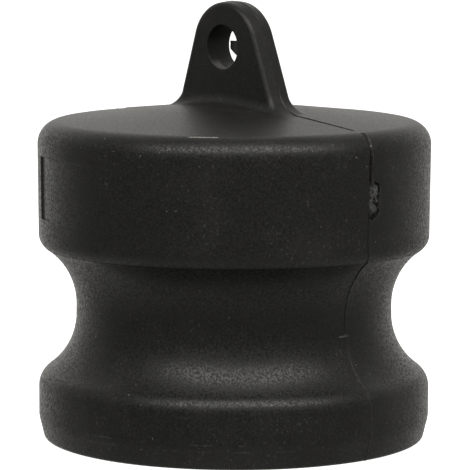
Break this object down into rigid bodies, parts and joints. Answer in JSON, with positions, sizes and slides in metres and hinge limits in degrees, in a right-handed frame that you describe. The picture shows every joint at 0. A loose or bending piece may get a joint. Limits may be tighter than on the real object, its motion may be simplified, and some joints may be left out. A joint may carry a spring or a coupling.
{
  "type": "cam and groove dust plug",
  "caption": "Moulded plastic dust plug that closes an empty cam and groove coupler; the cam arms grip its round groove, and a holed lug on its crown takes a cord.",
  "frame": {"origin": "on the plug's axis at its open nose end, which it stands on", "axes": "+Z along the plug's axis from the open nose to the lug; X along the lug's width, in the mould's parting plane; -Y towards the recessed panel on the upper band"},
  "size_m": [0.0536, 0.0536, 0.0595],
  "materials": {
    "black_plastic": "matte, as moulded, faintly speckled"
  },
  "bodies": {
    "root": {"dust_plug": "black_plastic"}
  },
  "joints": []
}
